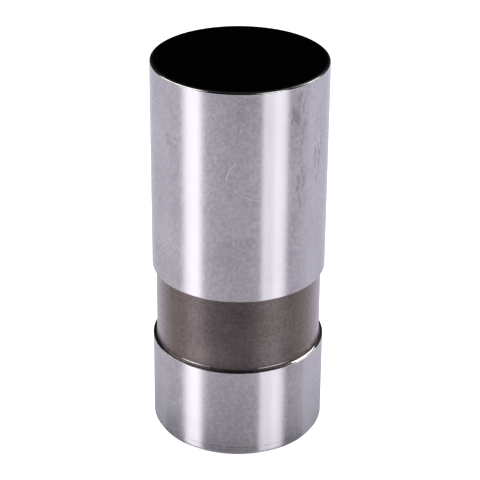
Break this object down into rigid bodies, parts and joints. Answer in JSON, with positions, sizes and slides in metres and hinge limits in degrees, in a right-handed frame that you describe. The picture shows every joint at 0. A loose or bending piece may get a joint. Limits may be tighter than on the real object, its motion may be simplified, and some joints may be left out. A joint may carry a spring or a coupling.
{
  "type": "flat tappet lifter",
  "caption": "Solid flat tappet valve lifter: a ground steel barrel with an oil band, a hard black cam face, and a pushrod cup held in its open end by a snap ring.",
  "frame": {"origin": "centre of the flat rim of the open pushrod end, on the lifter's axis", "axes": "+Z along the lifter's axis from the pushrod end up to the cam face; +Y towards the side with the oil feed hole, so -Y is the front seen in the picture"},
  "size_m": [0.0222, 0.0222, 0.0508],
  "materials": {
    "ground_tool_steel": "round ground barrel and land, satin turned band with a brown temper colour, hard black polished coating on the cam face",
    "hardened_steel": "turned and hardened, socket polished",
    "spring_steel": "stamped and tumbled strip",
    "ring_steel": "dark oil-tempered flat ring"
  },
  "bodies": {
    "root": {"lifter_body": "ground_tool_steel", "pushrod_seat": "hardened_steel", "metering_disc": "spring_steel", "retaining_ring": "ring_steel"}
  },
  "joints": []
}
